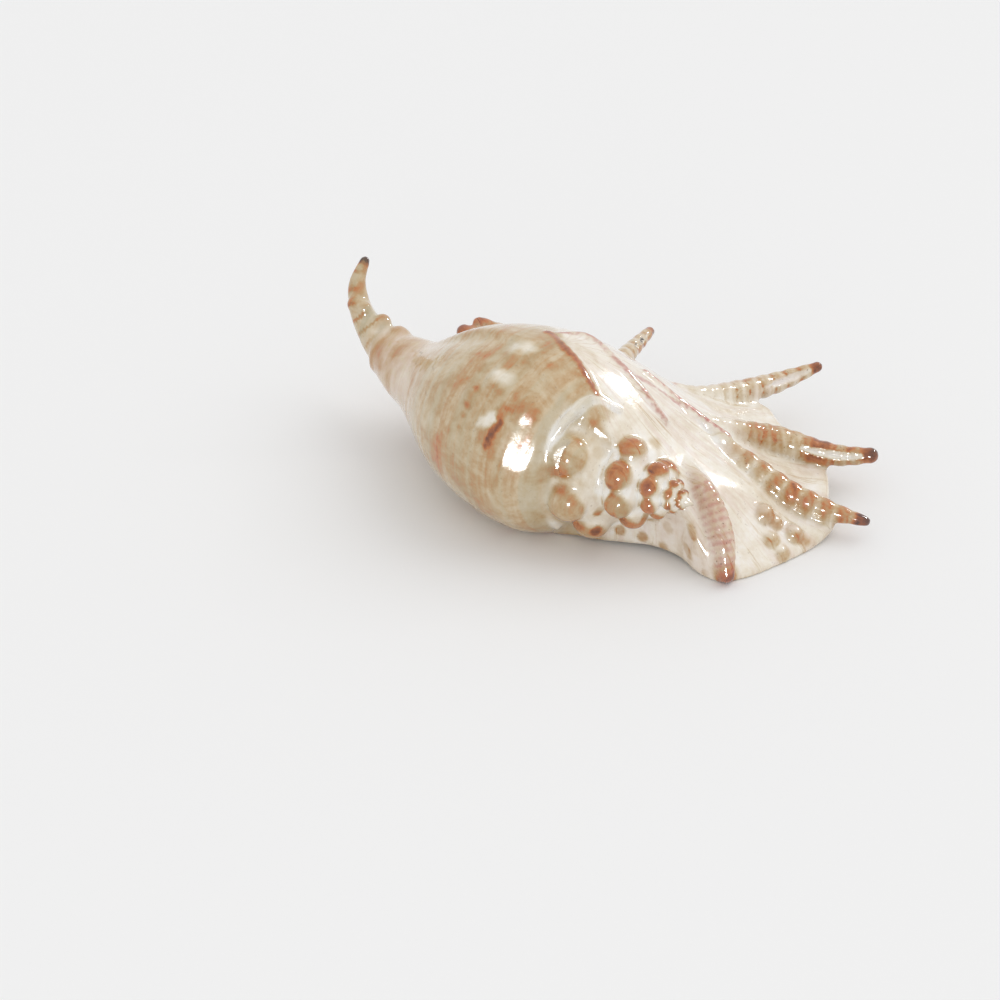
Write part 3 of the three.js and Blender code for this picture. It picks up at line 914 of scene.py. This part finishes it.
ramp = node(wiring, "ShaderNodeValToRGB", {"Fac": total})
while len(ramp.color_ramp.elements) < len(DEPTH_COLOURS):
    ramp.color_ramp.elements.new(0.5)
for stop, (at, colour) in zip(ramp.color_ramp.elements, DEPTH_COLOURS):
    stop.position = at
    stop.color = linear(colour)
colour = ramp.outputs["Color"]

olive_share = sums("MULTIPLY", layer_of("olive")["Fac"], above(stripes, 0.40, 0.68))
colour = tint(colour, linear(OLIVE), sums("MULTIPLY", olive_share, OLIVE_MOST))
rose_noise = above(noise(stretched(grain_at, ROSE_STRETCH), 1.0, 4, 0.6, 0.2), 0.42, 0.66)
rose_lines = sums("MULTIPLY", sums("MULTIPLY", lip_share, rose_noise), ROSE_LINE_MOST)
rose_blush = sums("MULTIPLY", layer_of("blush")["Fac"], above(dapple, 0.25, 0.6))
rose_share = sums("MAXIMUM", rose_blush, rose_lines)
colour = tint(colour, linear(ROSE), rose_share)
specks = above(noise(object_place, SPECK_SCALE, 2, 0.5), 0.66, 0.74)
speck_share = sums("MULTIPLY", specks, sums("MULTIPLY_ADD", finger_share, 0.4, 0.25))
colour = tint(colour, linear(SPECK), speck_share)
wobble = sums("MULTIPLY", sums("SUBTRACT", dapple, 0.5), CRACK_WOBBLE)
off_crack = sums("ABSOLUTE", sums("ADD", layer_of("crack")["Fac"], wobble), 0.0)
crack_line = sums("SUBTRACT", 1.0, above(off_crack, 0.2, 0.9))
colour = tint(colour, linear(SPECK), sums("MULTIPLY", crack_line, CRACK_MOST))

dimple_values = {"Height": sums("MULTIPLY_ADD", mottle, 0.6, dapple)}
dimple_values |= {"Strength": DIMPLE_STRENGTH, "Distance": DIMPLE_DEPTH}
dimples = node(wiring, "ShaderNodeBump", dimple_values)
principled = wiring.nodes["Principled BSDF"]
wiring.links.new(colour, principled.inputs["Base Color"])
wiring.links.new(dimples.outputs[0], principled.inputs["Normal"])
for key, value in GLOSS.items():
    principled.inputs[key].default_value = value

# ---- The relief of growth --------------------------------------------------------------
# Growth lines and glaze ripples raise the whole skin a little, and each point learns how
# far it stands proud of its surroundings. The face that the shell rests on stays flat.

LINE_HEIGHT = 0.0003
RIPPLE_HEIGHT = 0.00012
LINE_STRETCH = (0.3, 0.06, 0.05)
RIPPLE_SCALE = 75.0
NOISE_FLAT = 0.6  # the noise that leaves the skin where it is
NOISE_GAIN = 2.0
FLAT_BELOW = 0.001  # the relief sets in between these heights over the floor
FULL_ABOVE = 0.004
PEAK_ROUNDS = 28  # of smoothing, to learn each point's surroundings

relief = bpy.data.node_groups.new("growth_relief", "GeometryNodeTree")
relief.interface.new_socket("Skin", in_out="INPUT", socket_type="NodeSocketGeometry")
for name in ("Line Height", "Ripple Height"):
    relief.interface.new_socket(name, in_out="INPUT", socket_type="NodeSocketFloat")
relief.interface.new_socket("Glaze", in_out="INPUT", socket_type="NodeSocketMaterial")
relief.interface.new_socket("Skin", in_out="OUTPUT", socket_type="NodeSocketGeometry")
given = relief.nodes.new("NodeGroupInput").outputs
taken = relief.nodes.new("NodeGroupOutput").inputs


def math_of(kind, a, b=0.0, c=0.0):
    return node(relief, "ShaderNodeMath", {0: a, 1: b, 2: c}, operation=kind).outputs[0]


def vector_of(kind, values, **settings):
    return node(relief, "ShaderNodeVectorMath", values, operation=kind, **settings)


position = relief.nodes.new("GeometryNodeInputPosition").outputs[0]
normal = relief.nodes.new("GeometryNodeInputNormal").outputs[0]
over_floor = node(relief, "ShaderNodeSeparateXYZ", {0: position}).outputs["Z"]
fade_values = {0: over_floor, 1: FLAT_BELOW, 2: FULL_ABOVE}
off_floor = node(relief, "ShaderNodeMapRange", fade_values).outputs[0]
grain_of = node(relief, "GeometryNodeInputNamedAttribute", {"Name": "grain"}, data_type="FLOAT_VECTOR")
line_place = vector_of("MULTIPLY", {0: grain_of.outputs[0], 1: LINE_STRETCH}).outputs[0]
lines = node(relief, "ShaderNodeTexNoise", {"Vector": line_place, "Scale": 1.0, "Detail": 2.0})
ripples = node(relief, "ShaderNodeTexNoise", {"Vector": position, "Scale": RIPPLE_SCALE, "Detail": 2.0})
line_swing = math_of("SUBTRACT", lines.outputs["Fac"], NOISE_FLAT)
line_rise = math_of("MULTIPLY", line_swing, given["Line Height"])
ripple_swing = math_of("SUBTRACT", ripples.outputs["Fac"], NOISE_FLAT)
ripple_rise = math_of("MULTIPLY", ripple_swing, given["Ripple Height"])
gain = math_of("MULTIPLY", off_floor, NOISE_GAIN)
rise = math_of("MULTIPLY", math_of("ADD", line_rise, ripple_rise), gain)
offset = vector_of("SCALE", {0: normal, "Scale": rise})
raised = node(relief, "GeometryNodeSetPosition", {"Geometry": given["Skin"], "Offset": offset.outputs[0]})
blurred = node(relief, "GeometryNodeBlurAttribute", {"Iterations": PEAK_ROUNDS}, data_type="FLOAT_VECTOR")
relief.links.new(position, [socket for socket in blurred.inputs if socket.type == "VECTOR"][0])
smooth = [socket for socket in blurred.outputs if socket.type == "VECTOR"][0]
proud = vector_of("SUBTRACT", {0: position, 1: smooth}).outputs[0]
peak = vector_of("DOT_PRODUCT", {0: proud, 1: normal}).outputs["Value"]
stored = node(
    relief,
    "GeometryNodeStoreNamedAttribute",
    {"Geometry": raised.outputs[0], "Name": "peak"},
    data_type="FLOAT",
    domain="POINT",
)
peak_in = [socket for socket in stored.inputs if socket.name == "Value"][0]
relief.links.new(math_of("MULTIPLY", peak, METRE), peak_in)
glazed = node(relief, "GeometryNodeSetMaterial", {"Geometry": stored.outputs[0], "Material": given["Glaze"]})
solid = node(relief, "GeometryNodeRealizeInstances", {"Geometry": glazed.outputs[0]})
relief.links.new(solid.outputs[0], taken[0])

growth = shell.modifiers.new("growth_relief", "NODES")
growth.node_group = relief
sockets = {item.name: item.identifier for item in relief.interface.items_tree if item.in_out == "INPUT"}
growth[sockets["Line Height"]] = LINE_HEIGHT
growth[sockets["Ripple Height"]] = RIPPLE_HEIGHT
growth[sockets["Glaze"]] = glaze
raised_shell = shell.evaluated_get(bpy.context.evaluated_depsgraph_get())
shell.data = bpy.data.meshes.new_from_object(raised_shell)
shell.data.name = "spider_conch"
shell.modifiers.clear()
shell.data.materials.clear()
shell.data.materials.append(glaze)

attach(shell, "root")
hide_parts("shell")

# ---- The studio ---------------------------------------------------------------------
# A pale floor under an even white sky, a broad soft light from behind on the right, and
# two windows that only the gloss sees.

FLOOR_HALF = 6.0
FLOOR_CORNERS = ((-1, -1), (1, -1), (1, 1), (-1, 1))
FLOOR_GREY = 0.87
FLOOR_ROUGHNESS = 0.9
SKY_STRENGTH = 0.84
BROAD_POWER = 0.6
BROAD_SPREAD = math.radians(50)
BROAD_FROM = Vector((0.35, 0.6, 0.9))

floor_mesh = bpy.data.meshes.new("studio_floor")
corners = [(FLOOR_HALF * side_x, FLOOR_HALF * side_y, 0) for side_x, side_y in FLOOR_CORNERS]
floor_mesh.from_pydata(corners, [], [(0, 1, 2, 3)])
studio_floor = bpy.data.objects.new("studio_floor", floor_mesh)
bpy.context.collection.objects.link(studio_floor)
floor_paint = bpy.data.materials.new("floor_paint")
floor_paint.use_nodes = True
paint_inputs = floor_paint.node_tree.nodes["Principled BSDF"].inputs
paint_inputs["Base Color"].default_value = (FLOOR_GREY, FLOOR_GREY, FLOOR_GREY, 1)
paint_inputs["Roughness"].default_value = FLOOR_ROUGHNESS
floor_mesh.materials.append(floor_paint)

scene = bpy.context.scene
scene.view_settings.view_transform = "Standard"
sky = bpy.data.worlds.new("white_sky")
scene.world = sky
sky.use_nodes = True
sky.node_tree.nodes["Background"].inputs["Color"].default_value = (1, 1, 1, 1)
sky.node_tree.nodes["Background"].inputs["Strength"].default_value = SKY_STRENGTH

broad = bpy.data.lights.new("broad_light", "SUN")
broad.energy = BROAD_POWER
broad.angle = BROAD_SPREAD
broad_light = bpy.data.objects.new("broad_light", broad)
bpy.context.collection.objects.link(broad_light)
broad_light.rotation_euler = BROAD_FROM.to_track_quat("Z", "Y").to_euler()
broad_light.visible_glossy = False


def window(name, direction, distance, width, height, power):
    """A window seen only in the gloss: a lit rectangle facing the shell."""
    light = bpy.data.lights.new(name, "AREA")
    light.shape = "RECTANGLE"
    light.size, light.size_y = width, height
    light.energy = power
    holder = bpy.data.objects.new(name, light)
    bpy.context.collection.objects.link(holder)
    away = Vector(direction).normalized()
    holder.location = away * distance
    holder.rotation_euler = away.to_track_quat("Z", "Y").to_euler()
    holder.visible_diffuse = False


window("front_window", (0.55, -0.80, 0.21), 1.5, 0.24, 0.2, 20)
window("back_window", (0.21, 0.79, 0.57), 1.4, 0.13, 0.09, 6)

AZIMUTH = math.radians(42)
ELEVATION = math.radians(34)
DISTANCE = 1.3
AIM = Vector((-22, -26, 10))  # in the clay's millimetres
LENS = 93.6

to_camera = Vector((
    math.sin(AZIMUTH) * math.cos(ELEVATION),
    -math.cos(AZIMUTH) * math.cos(ELEVATION),
    math.sin(ELEVATION),
))
camera = bpy.data.cameras.new("camera")
camera.lens = LENS
camera.clip_start, camera.clip_end = 0.05, 30
tripod = bpy.data.objects.new("camera", camera)
bpy.context.collection.objects.link(tripod)
stand = (AIM - Vector(ORIGIN)) / METRE + to_camera * DISTANCE
facing_shell = to_camera.to_track_quat("Z", "Y").to_matrix().to_4x4()
tripod.matrix_world = Matrix.Translation(stand) @ facing_shell
scene.camera = tripod
